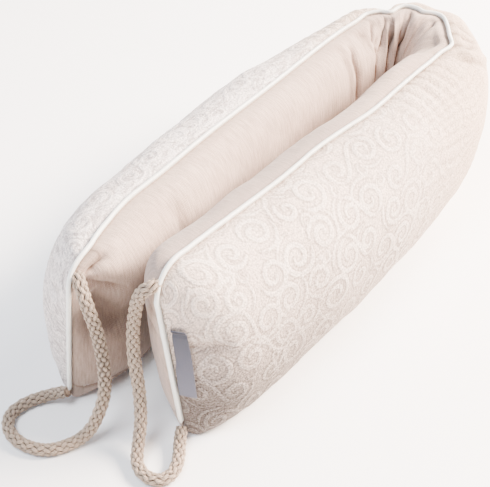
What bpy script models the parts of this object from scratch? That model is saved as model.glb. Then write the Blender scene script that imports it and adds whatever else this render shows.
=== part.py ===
"""A draught excluder: a long filled cloth tube with two rope handles, bent to a U and resting on the floor.

Two long panels meet in a piped seam that runs along the top and down both ends. The filled body wears
the plain inner panel. The velour outer panel, the piping, the ropes and the label are pieces of their own.
The model is in metres, +Z up, and the middle of its base is the origin.
"""
import math

import bmesh
import bpy
import numpy as np
from mathutils import Vector

# Plan of the tube: its middle line runs from the bend's middle to each end
BEND_AT = (-0.01083, 0.18296)
ARM_RIGHT = 0.392
ARM_LEFT = 0.421
TURN_RIGHT = math.radians(88)
TURN_LEFT = math.radians(96)
BEND_REACH = 0.054
BOW_RIGHT = math.radians(-8)
BOW_LEFT = math.radians(-12)

# Sections across the tube: place along it, how far it bulges out and in, its height, all in millimetres,
# and how many degrees its top leans towards the inside of the bend
PLACE, OUTER, INNER, HEIGHT, LEAN = range(5)
SECTIONS = [
    (-421, 49, 38, 127, 5),
    (-287, 49, 35, 126, 6),
    (-153, 52, 36, 125, 7),
    (-57, 33, 35, 129, 4),
    (0, 35, 27, 136, 1),
    (59, 44, 34, 137, -3),
    (157, 51, 34, 133, 1),
    (275, 51, 33, 130, 4),
    (392, 36, 34, 139, 6),
]
FULLNESS_OUTER = 0.77
FULLNESS_INNER = 0.58
FLOOR_SINK = 0.006

# Sewn ends: the tube is pinched to a vertical seam over a short taper, with rounded corners
TAPER_RIGHT = 0.045
TAPER_LEFT = 0.100
TAPER_POWER = 3.7
TAPER_ROOT = 0.74
TOP_CORNER = 0.022
BOTTOM_CORNER = 0.007
SEAM_EDGE = 0.0016
SEAM_VALLEY = 0.0020
VALLEY_WIDTH = 0.005
VALLEY_FADE = 0.03
END_SPREAD = 0.04

# Folds: side (1 outer, -1 inner), place at the top seam and lower down, half width, depth in millimetres,
# and where it starts and stops up the side (0 at the floor, 1 at the top seam)
SIDE, AT_TOP, AT_FOOT, HALF_WIDTH, DEPTH, FROM_RISE, TO_RISE = range(7)
FOLDS = [
    (-1, -31, -56, 6, 10, 0.30, 1.00),
    (-1, -8, -34, 7, 8, 0.35, 1.00),
    (-1, 20, 36, 7, 8, 0.40, 1.00),
    (-1, 47, 74, 8, 5, 0.40, 1.00),
    (-1, -52, -74, 6, 4, 0.60, 1.00),
    (-1, -74, -86, 7, 3, 0.45, 1.00),
    (-1, -94, -104, 8, 3, 0.30, 0.99),
    (-1, -404, -396, 10, 5, 0.55, 0.86),
    (1, -26, -20, 5, 3, 0.86, 1.00),
    (1, 6, 12, 6, 4, 0.72, 1.00),
    (1, 28, 16, 5, 3, 0.80, 1.00),
    (1, 66, 48, 6, 3, 0.82, 1.00),
    (1, -410, -418, 8, 3, 0.40, 0.90),
    (1, 378, 384, 7, 3, 0.55, 0.80),
]
FOLD_START = 0.15
FOLD_STOP = 0.025
FOLD_END_FADE = 0.012

# The outer panel is a sheet laid over the filled body, a small gap away
PANEL_THICKNESS = 0.0018
GAP = 0.0003
SEAM_GAP = 0.0005

# Piping, rope and label
PIPING_RADIUS = 0.0020
PIPING_STEP = 0.009
PIPING_GAP = 0.0006
PIPING_FOOT = 0.0180
CORNER_SPAN = 0.030
ROPE_RADIUS = 0.0040
BRAID_PITCH = 0.009
BRAID_RELIEF = 0.0007
ROPE_SIDES = 8
STITCH_OFFSET = 0.4
LABEL_TOP = 0.80
LABEL_FOOT = 0.33
LABEL_PLACES = [0.0001, 0.0004, 0.0009, 0.0016, 0.0025, 0.0036]
LABEL_ROWS = 9
LABEL_THICKNESS = 0.0008
LABEL_LIFT = 0.0012

# Rope routes, millimetres from the bend's middle, from the top corner of the end seam to its bottom corner
ROUTE_RIGHT = [
    (65.3, -373.8, 126.5), (60.5, -373.9, 125), (55, -373.8, 119), (51.5, -373.5, 107), (50, -374, 93),
    (51, -376, 80), (54, -379, 67), (57.5, -381, 55), (61, -383, 44), (64.5, -386, 33), (68, -390, 22),
    (71.5, -396, 11.5), (77, -403, 5.5), (83.5, -406.5, 4.3), (91, -407, 4.3), (98, -403.5, 4.3),
    (100.5, -397, 4.3), (99, -390, 4.3), (94.5, -383, 4.4), (88.4, -375.9, 6), (82.7, -368.2, 10.8),
]
ROUTE_LEFT = [
    (21.2, -390.7, 119.5), (25.3, -392, 115), (29, -392.5, 107), (32, -391.5, 96), (35, -391, 85),
    (38, -391.5, 71), (42, -394, 55), (44.5, -398, 39), (44, -403, 26), (41.5, -409, 13),
    (38, -416.5, 5.5), (35, -425, 4.3), (31, -433, 4.3), (25, -439, 4.3), (15, -443.5, 4.3),
    (4, -444.5, 4.3), (-6, -441, 4.3), (-12, -433, 4.3), (-12, -422, 4.3), (-8.5, -412.5, 4.8),
    (-3, -405.6, 7), (2.3, -401.8, 10), (7.7, -400.2, 13),
]

# How finely the body and the outer panel are divided
ARM_ANGLES = np.radians([-90, -66, -44, -22, 0, 22, 42, 60, 75, 86, 90])
END_ANGLES = np.radians([-90, -76, -56, -36, -16, 4, 22, 39, 55, 71, 90])
BEND_STEP = 0.0045
BEND_SPAN = 0.105
ARM_STEP = 0.016
END_STEPS = [0, 0.0008, 0.0025, 0.0055, 0.010, 0.016, 0.024, 0.035, 0.048]
SHARP_ANGLE = math.radians(50)


def read_section(places, column):
    """Reads one column of the section table along the tube, on a smooth curve through its rows."""
    x = np.array([row[PLACE] for row in SECTIONS]) / 1000
    y = np.array([row[column] for row in SECTIONS], float)
    slope = np.gradient(y, x)
    places = np.clip(places, x[0], x[-1])
    row = np.clip(np.searchsorted(x, places) - 1, 0, len(x) - 2)
    step = x[row + 1] - x[row]
    t = (places - x[row]) / step
    start = (2*t**3 - 3*t**2 + 1)*y[row] + (t**3 - 2*t**2 + t)*step*slope[row]
    end = (3*t**2 - 2*t**3)*y[row + 1] + (t**3 - t**2)*step*slope[row + 1]
    return start + end


def middle_line(places):
    """Gives x, y and heading of the tube's middle line at places along it."""
    s = np.linspace(-ARM_LEFT, ARM_RIGHT, 2001)
    reach = np.where(s > 0, ARM_RIGHT, ARM_LEFT)
    turn = np.where(s > 0, TURN_RIGHT, TURN_LEFT)
    bow = np.where(s > 0, BOW_RIGHT, BOW_LEFT)
    straight = np.clip(abs(s) - 2*BEND_REACH, 0, None) / (reach - 2*BEND_REACH)
    heading = turn*np.tanh(s/BEND_REACH)/np.tanh(reach/BEND_REACH) + bow*straight**2
    step = s[1] - s[0]

    def walk(direction):
        travelled = np.concatenate([[0], np.cumsum((direction[1:] + direction[:-1])/2*step)])
        return travelled - np.interp(0, s, travelled)

    x = walk(np.cos(heading))
    y = walk(-np.sin(heading))
    return np.interp(places, s, x), np.interp(places, s, y), np.interp(places, s, heading)


def distance_to_end(places):
    return np.minimum(ARM_RIGHT - places, places + ARM_LEFT)


def smooth_step(value):
    value = np.clip(value, 0, 1)
    return value*value*(3 - 2*value)


def rounded_corner(to_end, radius):
    """How far a corner of this radius falls below the straight edge."""
    return radius - np.sqrt(radius**2 - np.clip(radius - to_end, 0, radius)**2)


def smooth_surface(places, angles, side):
    """Points of the tube without its folds: a row for each place, a column for each angle up the side.

    The angles are one row for all places, or a row for each place.
    """
    x, y, heading = middle_line(places)
    to_end = distance_to_end(places)
    taper_length = np.where(places > 0, TAPER_RIGHT, TAPER_LEFT)
    taper = (1 - (1 - np.clip(to_end/taper_length, 0, 1))**TAPER_POWER)**TAPER_ROOT
    bulge = read_section(places, OUTER if side > 0 else INNER)/1000
    height = read_section(places, HEIGHT)/1000
    lean = np.tan(np.radians(read_section(places, LEAN)))
    top = height - rounded_corner(to_end, TOP_CORNER)
    bottom = rounded_corner(to_end, BOTTOM_CORNER) - FLOOR_SINK*np.clip(to_end/END_SPREAD, 0, 1)
    rise = (1 + np.sin(angles))/2
    width = SEAM_EDGE + (bulge - SEAM_EDGE)*taper
    fullness = FULLNESS_OUTER if side > 0 else FULLNESS_INNER
    from_seam = width[:, None]*np.abs(np.cos(angles))**fullness
    across = (height*lean/2)[:, None]*(1 - 2*rise) + side*from_seam
    valley = SEAM_VALLEY*smooth_step(to_end/VALLEY_FADE)
    z = bottom[:, None] + (top - bottom)[:, None]*rise
    z = z - valley[:, None]*np.exp(-(from_seam/VALLEY_WIDTH)**2)*(angles > 0)
    z = np.maximum(z, 0)
    px = x[:, None] + np.sin(heading)[:, None]*across
    py = y[:, None] + np.cos(heading)[:, None]*across
    return np.stack([px, py, z], -1)


def surface_normals(places, angles, side):
    """Outward normals of the smooth surface, from small steps along it and up it."""
    small_place = 0.0004
    small_angle = 0.01
    inside = np.clip(places, -ARM_LEFT + small_place, ARM_RIGHT - small_place)
    up_angles = np.clip(angles, -math.pi/2 + small_angle, math.pi/2 - small_angle)
    along = smooth_surface(inside + small_place, up_angles, side) \
        - smooth_surface(inside - small_place, up_angles, side)
    up = smooth_surface(inside, up_angles + small_angle, side) \
        - smooth_surface(inside, up_angles - small_angle, side)
    normal = np.cross(up, along)*side
    return normal/np.maximum(np.linalg.norm(normal, axis=-1, keepdims=True), 1e-12)


def fold_depth(places, angles, side):
    """How deep the folds press into the surface at each place and angle."""
    rise = (1 + np.sin(angles))/2
    depth = 0
    for fold in FOLDS:
        if fold[SIDE] != side:
            continue
        line = (fold[AT_FOOT] + (fold[AT_TOP] - fold[AT_FOOT])*rise)/1000
        width = fold[HALF_WIDTH]/1000
        trough = np.exp(-((places[:, None] - line)/width)**2)
        grow = smooth_step((rise - fold[FROM_RISE])/FOLD_START)
        fade = smooth_step((fold[TO_RISE] - rise)/FOLD_STOP)
        depth = depth + fold[DEPTH]/1000*trough*grow*fade
    return depth


def tube_surface(places, angles, side):
    """Points of one side of the tube with its folds, no lower than the floor."""
    smooth = smooth_surface(places, angles, side)
    near_end = smooth_step(distance_to_end(places)/FOLD_END_FADE)
    depth = fold_depth(places, angles, side)*near_end[:, None]
    points = smooth - surface_normals(places, angles, side)*depth[..., None]
    points[..., 2] = np.maximum(points[..., 2], 0)
    return points


def section_places():
    """Places along the tube, close together at the bend and at the ends."""
    ends = np.array(END_STEPS)
    start = -ARM_LEFT + ends[-1]
    stop = ARM_RIGHT - ends[-1]
    places = [start]
    while places[-1] < stop:
        bend = math.exp(-(places[-1]/BEND_SPAN)**4)
        places.append(places[-1] + BEND_STEP*bend + ARM_STEP*(1 - bend))
    stretch = (stop - start)/(places[-1] - start)
    arms = start + (np.array(places) - start)*stretch
    return np.concatenate([-ARM_LEFT + ends[:-1], arms, (ARM_RIGHT - ends[:-1])[::-1]])


def fabric(name, colour, roughness, sheen=0.0):
    """A cloth material for one sub-part."""
    material = bpy.data.materials.new(name)
    material.use_nodes = True
    shader = material.node_tree.nodes["Principled BSDF"]
    shader.inputs["Base Color"].default_value = (*colour, 1)
    shader.inputs["Roughness"].default_value = roughness
    shader.inputs["Sheen Weight"].default_value = sheen
    material.diffuse_color = (*colour, 1)
    return material


def add_object(name, data, holder, material):
    """Links an object to the part's collection, under the empty that holds the whole part."""
    obj = bpy.data.objects.new(name, data)
    obj.data.materials.append(material)
    holder.users_collection[0].objects.link(obj)
    obj.parent = holder
    return obj


def grid_faces(bm, grid, flip=False):
    """Joins a grid of vertices with triangles, all cut along the same diagonal."""
    for row, next_row in zip(grid[:-1], grid[1:]):
        for a, b, c, d in zip(row[:-1], next_row[:-1], next_row[1:], row[1:]):
            for corners in ((a, b, c), (a, c, d)):
                bm.faces.new(corners[::-1] if flip else corners)


def mesh_from(bm, name):
    bmesh.ops.recalc_face_normals(bm, faces=bm.faces)
    mesh = bpy.data.meshes.new(name)
    bm.to_mesh(mesh)
    bm.free()
    mesh.shade_smooth()
    mesh.set_sharp_from_angle(angle=SHARP_ANGLE)
    return mesh


def rise_angles(places):
    """The angles of the grid's columns, spread more evenly where the ends are pinched."""
    arm = smooth_step(distance_to_end(places)/END_SPREAD)[:, None]
    return END_ANGLES*(1 - arm) + ARM_ANGLES*arm


def outer_panel_surface(places):
    """The velour panel's outer face, as an open grid from the bottom seam to the top seam."""
    bm = bmesh.new()
    points = tube_surface(places, rise_angles(places), 1)
    grid = [[bm.verts.new(point) for point in row] for row in points]
    grid_faces(bm, grid, flip=True)
    mesh = bpy.data.meshes.new("outer_panel")
    bm.to_mesh(mesh)
    bm.free()
    return mesh


def make_outer_panel(mesh, rows, holder, material):
    """Gives the open panel its thickness, its edges drawn back a little from the seams."""
    columns = len(ARM_ANGLES)
    last_row = (rows - 1)*columns
    edges = [(row*columns, row*columns + 1) for row in range(rows)]
    edges += [(row*columns + columns - 1, row*columns + columns - 2) for row in range(rows)]
    edges += [(column, column + columns) for column in range(columns)]
    edges += [(last_row + column, last_row + column - columns) for column in range(columns)]
    for edge, inward in edges:
        vertex = mesh.vertices[edge]
        towards = mesh.vertices[inward].co - vertex.co
        vertex.co += towards.normalized()*SEAM_GAP
    panel = add_object("outer_panel", mesh, holder, material)
    mesh.shade_smooth()
    wall = panel.modifiers.new("Wall", "SOLIDIFY")
    wall.thickness = PANEL_THICKNESS
    wall.offset = -1
    return panel


def make_body(panel_mesh, places, holder, material):
    """The filled tube: its inner side is the plain panel, its outer side lies under the velour panel."""
    inner = tube_surface(places, rise_angles(places), -1)
    columns = len(ARM_ANGLES)
    inset = PANEL_THICKNESS + GAP
    covered = [vertex.co - vertex.normal*inset for vertex in panel_mesh.vertices]
    bm = bmesh.new()
    rings = []
    for row in range(len(places)):
        outer_side = [bm.verts.new(covered[row*columns + column]) for column in range(columns)]
        inner_side = [bm.verts.new(point) for point in inner[row]]
        rings.append(outer_side + inner_side[::-1])
    grid_faces(bm, [ring + ring[:1] for ring in rings])
    for ring in (rings[0], rings[-1]):
        ladder = [ring[:columns], ring[columns:][::-1]]
        grid_faces(bm, ladder)
    return add_object("filled_body", mesh_from(bm, "filled_body"), holder, material)


def smooth_route(points, step):
    """Even points on a smooth curve through a route's own points."""
    points = np.array(points, float)
    padded = np.vstack([2*points[0] - points[1], points, 2*points[-1] - points[-2]])
    fine = []
    for before, start, end, after in zip(padded[:-3], padded[1:-2], padded[2:-1], padded[3:]):
        for t in np.arange(0, 1, 0.05):
            fine.append(0.5*(2*start + (end - before)*t + (2*before - 5*start + 4*end - after)*t**2
                             + (3*start - before - 3*end + after)*t**3))
    fine = np.array(fine + [points[-1]])
    travelled = np.concatenate([[0], np.cumsum(np.linalg.norm(np.diff(fine, axis=0), axis=1))])
    count = max(2, round(travelled[-1]/step) + 1)
    even = np.linspace(0, travelled[-1], count)
    return np.stack([np.interp(even, travelled, fine[:, axis]) for axis in range(3)], 1)


def piping_route():
    """The seam's outline, up the right end, along the top and down the left end, moved out to the piping."""
    climb = np.radians(np.linspace(-90, 90, 13))[:-1]
    corner = np.linspace(0, CORNER_SPAN, 16)
    along = np.linspace(ARM_RIGHT - CORNER_SPAN, -ARM_LEFT + CORNER_SPAN, 122)[1:-1]
    top = np.concatenate([ARM_RIGHT - corner, along, (-ARM_LEFT + corner)[::-1]])
    right_end = np.full(len(climb), ARM_RIGHT)
    left_end = np.full(len(climb), -ARM_LEFT)
    places = np.concatenate([right_end, top, left_end])
    ends = [(smooth_surface(end[:1], climb, 1)[0] + smooth_surface(end[:1], climb, -1)[0])/2
            for end in (right_end, left_end)]
    seam = smooth_surface(top, np.array([math.pi/2]), 1)[:, 0]
    line = np.vstack([ends[0], seam, ends[1][::-1]])
    slope = np.gradient(np.stack([places, line[:, 2]], 1), axis=0)
    slope /= np.linalg.norm(slope, axis=1, keepdims=True)
    heading = middle_line(places)[2]
    forward = np.stack([np.cos(heading), -np.sin(heading), np.zeros(len(places))], 1)
    outward = forward*slope[:, 1:] - np.array([0, 0, 1])*slope[:, :1]
    route = line + outward*(PIPING_RADIUS + PIPING_GAP)
    route = route[route[:, 2] > PIPING_FOOT]
    return smooth_route(route, PIPING_STEP)


def make_piping(holder, material):
    """Corded satin piping, a round cord along the seam."""
    curve = bpy.data.curves.new("piping", "CURVE")
    curve.dimensions = "3D"
    curve.bevel_depth = PIPING_RADIUS
    curve.bevel_resolution = 2
    curve.use_fill_caps = True
    route = piping_route()
    spline = curve.splines.new("POLY")
    spline.points.add(len(route) - 1)
    for point, place in zip(spline.points, route):
        point.co = (*place, 1)
    return add_object("piping", curve, holder, material)


def make_rope(name, route, holder, material):
    """A braided rope: rings along its route, with the braid's slanting stitches raised on it."""
    rings_per_stitch = 4
    points = smooth_route(np.array(route)/1000, BRAID_PITCH/rings_per_stitch)
    across = Vector((0, 0, 1)).cross(Vector(points[1] - points[0])).normalized()
    bm = bmesh.new()
    rings = []
    for row, point in enumerate(points):
        ahead = points[min(row + 1, len(points) - 1)] - points[max(row - 1, 0)]
        ahead = Vector(ahead).normalized()
        across = (across - ahead*across.dot(ahead)).normalized()
        over = ahead.cross(across)
        ring = []
        for side in range(ROPE_SIDES):
            turn = 2*math.pi*side/ROPE_SIDES
            stitch = row/rings_per_stitch + STITCH_OFFSET*(side % 2)
            radius = ROPE_RADIUS - BRAID_RELIEF*(1 - math.cos(2*math.pi*stitch))/2
            ring.append(bm.verts.new(Vector(point) + (across*math.cos(turn) + over*math.sin(turn))*radius))
        rings.append(ring)
    grid_faces(bm, [ring + ring[:1] for ring in rings])
    bm.faces.new(rings[0])
    bm.faces.new(rings[-1])
    return add_object(name, mesh_from(bm, name), holder, material)


def make_label(holder, material):
    """A blank woven label, held in the right end seam and lying over the velour."""
    places = ARM_RIGHT - np.array(LABEL_PLACES)
    foot = math.asin(2*LABEL_FOOT - 1)
    top = math.asin(2*LABEL_TOP - 1)
    angles = np.linspace(foot, top, LABEL_ROWS)
    points = smooth_surface(places, angles, 1)
    normals = surface_normals(places, angles, 1)
    lift = np.linspace(GAP, LABEL_LIFT, len(places))[:, None, None]
    bm = bmesh.new()
    grid = [[bm.verts.new(point) for point in row] for row in points + normals*lift]
    grid_faces(bm, grid)
    mesh = bpy.data.meshes.new("label")
    bm.to_mesh(mesh)
    bm.free()
    label = add_object("label", mesh, holder, material)
    wall = label.modifiers.new("Wall", "SOLIDIFY")
    wall.thickness = LABEL_THICKNESS
    wall.offset = 1
    return label


def main():
    for obj in list(bpy.data.objects):
        bpy.data.objects.remove(obj, do_unlink=True)
    collection = bpy.data.collections.new("draught_excluder")
    bpy.context.scene.collection.children.link(collection)
    holder = bpy.data.objects.new("bend_middle", None)
    holder.location = (*BEND_AT, 0)
    collection.objects.link(holder)

    cotton = fabric("brushed_cotton", (0.72, 0.62, 0.53), 0.9, 0.3)
    velour = fabric("embossed_velour", (0.78, 0.73, 0.67), 0.75, 0.6)
    satin = fabric("ivory_satin", (0.86, 0.83, 0.78), 0.35)
    rope = fabric("braided_cotton", (0.76, 0.69, 0.58), 0.85, 0.2)
    woven = fabric("woven_label_satin", (0.84, 0.84, 0.84), 0.4)

    places = section_places()
    panel_mesh = outer_panel_surface(places)
    make_body(panel_mesh, places, holder, cotton)
    make_outer_panel(panel_mesh, len(places), holder, velour)
    make_piping(holder, satin)
    make_rope("rope_handle_right", ROUTE_RIGHT, holder, rope)
    make_rope("rope_handle_left", ROUTE_LEFT, holder, rope)
    make_label(holder, woven)


main()
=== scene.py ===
"""The looks of the draught excluder: a filled cloth tube with two rope handles, bent to a U on a pale floor.

The plan, sections and rope routes repeat the named sizes of the part's own solids. Each soft piece is then
made finer than its solid: folds and puckers, raised scrolls in the velour, braided strands and stitches.
Every piece sits at the origin with its place in its mesh, in metres.
"""
import math

import bmesh
import bpy
import numpy as np
from mathutils import Matrix, Vector, kdtree


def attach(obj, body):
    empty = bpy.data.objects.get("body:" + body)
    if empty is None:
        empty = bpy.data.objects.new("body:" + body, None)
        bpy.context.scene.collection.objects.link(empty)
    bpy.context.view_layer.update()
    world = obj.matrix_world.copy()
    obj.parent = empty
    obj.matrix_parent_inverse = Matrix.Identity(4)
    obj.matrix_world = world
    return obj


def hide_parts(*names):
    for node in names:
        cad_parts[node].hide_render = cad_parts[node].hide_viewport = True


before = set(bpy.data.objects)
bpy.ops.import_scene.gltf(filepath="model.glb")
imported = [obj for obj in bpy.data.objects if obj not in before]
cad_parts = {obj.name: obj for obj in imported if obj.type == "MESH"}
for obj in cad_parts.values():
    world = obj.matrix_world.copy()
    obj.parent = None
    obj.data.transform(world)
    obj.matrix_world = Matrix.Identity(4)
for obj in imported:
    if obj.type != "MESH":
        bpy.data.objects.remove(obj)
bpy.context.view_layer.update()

# Plan of the tube, as in the part's source
BEND_AT = np.array([-0.01083, 0.18296, 0])
ARM_RIGHT = 0.392
ARM_LEFT = 0.421
TURN_RIGHT = math.radians(88)
TURN_LEFT = math.radians(96)
BEND_REACH = 0.054
BOW_RIGHT = math.radians(-8)
BOW_LEFT = math.radians(-12)
PLACE, OUTER, INNER, HEIGHT, LEAN = range(5)
SECTIONS = [
    (-421, 49, 38, 127, 5),
    (-287, 49, 35, 126, 6),
    (-153, 52, 36, 125, 7),
    (-57, 33, 35, 129, 4),
    (0, 35, 27, 136, 1),
    (59, 44, 34, 137, -3),
    (157, 51, 34, 133, 1),
    (275, 51, 33, 130, 4),
    (392, 36, 34, 139, 6),
]
FULLNESS_OUTER = 0.77
FULLNESS_INNER = 0.58
FLOOR_SINK = 0.006
TAPER_RIGHT = 0.045
TAPER_LEFT = 0.100
TAPER_POWER = 3.7
TAPER_ROOT = 0.74
TOP_CORNER = 0.022
BOTTOM_CORNER = 0.007
SEAM_EDGE = 0.0016
SEAM_VALLEY = 0.0020
VALLEY_WIDTH = 0.005
VALLEY_FADE = 0.03
END_SPREAD = 0.04
PIPING_RADIUS = 0.0020
PIPING_GAP = 0.0006
COVER_RADIUS = 0.0015
PIPING_FOOT = 0.0100
PIPING_STEP = 0.0012
FLANGE_HALF = 0.0005
CORNER_SPAN = 0.030
LABEL_TOP = 0.80
LABEL_FOOT = 0.33
LABEL_DEEP = 0.0036
LABEL_WIDE = 0.018
LABEL_HIGH = 0.057
LABEL_THICK = 0.0006
BACK_STRETCH = 1.15
BACK_INSET = 0.0034
MID_HEIGHT = np.array([0.3])
COTTON_LENGTH = 0.750

# Rope routes in millimetres from the bend's middle, from the top corner of each end seam to its bottom corner
ROUTE_RIGHT = [
    (65.8, -366.5, 128.6), (65.6, -370, 128.2), (63.1, -372.5, 125.8), (59.1, -373.6, 120.3),
    (55.4, -374, 111), (52.4, -374, 99), (51, -375, 87), (52, -377, 75), (54.5, -379.3, 65), (57.5, -381, 55),
    (61, -383, 44), (64.5, -386, 33), (68, -390, 22), (71.5, -396, 11.5), (77, -403, 5.5),
    (83.5, -406.5, 4.3), (91, -407, 4.3), (98, -403.5, 4.3), (100.5, -397, 4.3), (99, -390, 4.3),
    (94.5, -383, 4.4), (88.4, -375.9, 6), (82.7, -368.2, 10.8),
]
ROUTE_LEFT = [
    (17.5, -386.5, 118), (21.5, -389, 117), (25.9, -391, 113), (29.5, -392, 107), (32.4, -392, 98),
    (35, -391, 85), (38, -391.5, 71), (42, -394, 55), (44.5, -398, 39), (44, -403, 26), (41.5, -409, 13),
    (38, -416.5, 5.5), (35, -425, 4.3), (31, -433, 4.3), (25, -439, 4.3), (15, -443.5, 4.3), (4, -444.5, 4.3),
    (-6, -441, 4.3), (-12, -433, 4.3), (-12, -422, 4.3), (-8.5, -412.5, 4.8), (-3, -405.6, 7),
    (2.3, -401.8, 10), (7.7, -400.2, 13),
]

# The piped seam sways from its smooth line: place along the tube, half width and move outward, in millimetres
SEAM_SWAYS = [
    (-402, 12, -2.2), (-350, 28, 3), (-50, 9, 3), (-29, 6, -5.4), (-15, 6, 2), (4, 7, -4.2), (17, 11, 2.7),
    (60, 9, 4), (103, 28, -1.9), (166, 22, 2), (226, 26, -1.8),
]
SWAY_FOOT = 0.72

# Creases: side (1 velour, -1 cotton), half width and depth in millimetres, sharpness (1 a sharp crease,
# 2 a soft hollow), and the line it follows as places along the tube and rises (0 at the floor, 1 at the seam)
CREASES = [
    (-1, 1.9, 9, 1, [(-28, 1.02), (-34, 0.968), (-36, 0.906), (-37, 0.83), (-41, 0.758), (-46, 0.5),
                     (-50, 0.25)]),
    (-1, 1.6, 4.5, 1, [(-37, 1.01), (-45, 0.946), (-49, 0.892), (-58, 0.852), (-64, 0.798), (-68, 0.6)]),
    (-1, 1.5, 3.5, 1, [(-54, 0.937), (-61, 0.906), (-61, 0.87), (-58, 0.85)]),
    (-1, 1.5, 3.5, 1, [(-51, 1.01), (-58, 0.982), (-61, 0.95), (-62, 0.9)]),
    (-1, 1.7, 7, 1, [(-9, 1.02), (-6, 0.95), (-8, 0.897), (-12, 0.838), (-19, 0.771), (-26, 0.55),
                   (-30, 0.3)]),
    (-1, 1.9, 6, 1, [(17, 1.02), (27, 0.982), (32, 0.95), (38, 0.901), (36, 0.847), (30, 0.65), (26, 0.4)]),
    (-1, 8, 3.5, 1.8, [(45, 1.01), (58, 0.985), (71, 0.973), (84, 0.96)]),
    (-1, 4, -1.6, 1.8, [(-43, 1), (-40, 0.95), (-43, 0.88), (-47, 0.82), (-52, 0.75), (-57, 0.6)]),
    (-1, 5, -2, 1.8, [(-21, 1), (-20, 0.94), (-22, 0.86), (-28, 0.76), (-34, 0.6)]),
    (-1, 6, -2.2, 1.8, [(6, 1), (11, 0.94), (12, 0.86), (8, 0.7)]),
    (-1, 10, 3, 1.8, [(-72, 1), (-74, 0.97), (-70, 0.94), (-68, 0.9)]),
    (-1, 3, 4.5, 1.1, [(-93, 0.97), (-95, 0.915), (-93, 0.798), (-96, 0.55)]),
    (-1, 6, 2.5, 1.5, [(-107, 0.98), (-106, 0.923), (-104, 0.789), (-106, 0.6)]),
    (-1, 3.5, 7, 1.1, [(-397, 1.01), (-401, 0.991), (-408, 0.982), (-413, 0.97), (-416, 0.95)]),
    (-1, 4.5, 5, 1.2, [(-418, 0.95), (-415, 0.928), (-410, 0.856), (-399, 0.789), (-388, 0.76)]),
    (-1, 12, 9, 2, [(-419, 0.82), (-412, 0.69), (-404, 0.56), (-394, 0.42)]),
    (-1, 34, 5, 2, [(-398, 0.6), (-375, 0.53), (-350, 0.48), (-320, 0.45)]),
    (-1, 3, 2.5, 1.1, [(391, 0.8), (386, 0.78), (379, 0.775)]),
    (-1, 3, 2, 1.1, [(391, 0.66), (385, 0.65), (378, 0.66)]),
    (-1, 5, 2, 1.6, [(-330, 0.95), (-332, 0.8), (-328, 0.6)]),
    (1, 3, 3.5, 1, [(-34, 1.02), (-32, 0.985), (-29, 0.95), (-24, 0.92)]),
    (1, 3.5, 3, 1.1, [(-20, 1.02), (-17, 0.985), (-12, 0.95)]),
    (1, 4, 3, 1.2, [(24, 1.02), (29, 0.99), (33, 0.97), (38, 0.93)]),
    (1, 3, 3, 1, [(38, 1.02), (44, 0.99), (42, 0.96), (36, 0.93)]),
    (1, 3, 3.5, 1, [(61, 1.02), (56, 0.99), (48, 0.965), (42, 0.93)]),
    (1, 3.5, -2.4, 1.8, [(66, 1.01), (63, 0.985), (58, 0.955), (50, 0.9), (42, 0.83)]),
    (1, 2.6, 2, 1.1, [(75, 1.01), (70, 0.98), (62, 0.94), (54, 0.88), (47, 0.8)]),
    (1, 3, 2, 1, [(-410, 0.965), (-413, 0.95), (-415, 0.93)]),
    (1, 3.5, 2.5, 1.1, [(-414, 0.935), (-417, 0.92), (-419, 0.9)]),
    (1, 3, 2, 1.1, [(-416, 0.8), (-413, 0.78), (-409, 0.76)]),
    (1, 7, 3, 1.6, [(389, 0.655), (385, 0.63), (378, 0.62), (370, 0.63)]),
    (1, 3, 2, 1, [(390, 0.645), (387, 0.635), (380, 0.64)]),
]
RISE_SPAN = 150
SOFT_HOLLOW = 1.3
CREASE_LINE = 0.9
# A crease this deep, in millimetres, gets a fully dark painted shade line: the velour's pile shades sooner
# than the cotton
FULL_DARK = {1: 3.2, -1: 7}
HOLLOW_DARK = 11


def smooth_step(value):
    value = np.clip(value, 0, 1)
    return value*value*(3 - 2*value)


def smooth_blend(t, start, leave, end, arrive):
    """A smooth curve from start to end as t goes from 0 to 1, leaving and arriving with these slopes."""
    return ((2*t**3 - 3*t**2 + 1)*start + (t**3 - 2*t**2 + t)*leave
            + (3*t**2 - 2*t**3)*end + (t**3 - t**2)*arrive)


def humps(places, rows):
    """Adds up round humps along the tube, each row its place and half width in millimetres and its height."""
    return sum(high*np.exp(-((places*1000 - place)/half)**2) for place, half, high in rows)


def distance_along(points):
    """The distance travelled along a line of points, at each of them."""
    return np.concatenate([[0], np.cumsum(np.linalg.norm(np.diff(points, axis=0), axis=1))])


def unit(vectors):
    return vectors/np.maximum(np.linalg.norm(vectors, axis=-1, keepdims=True), 1e-12)


def above(points, low=0.0):
    """The same points, none of them under this height."""
    points[..., 2] = np.maximum(points[..., 2], low)
    return points


def read_section(places, column):
    """Reads one column of the section table along the tube, on a smooth curve through its rows."""
    x = np.array([row[PLACE] for row in SECTIONS])/1000
    y = np.array([row[column] for row in SECTIONS], float)
    slope = np.gradient(y, x)
    places = np.clip(places, x[0], x[-1])
    row = np.clip(np.searchsorted(x, places) - 1, 0, len(x) - 2)
    step = x[row + 1] - x[row]
    return smooth_blend((places - x[row])/step, y[row], step*slope[row], y[row + 1], step*slope[row + 1])


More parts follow.
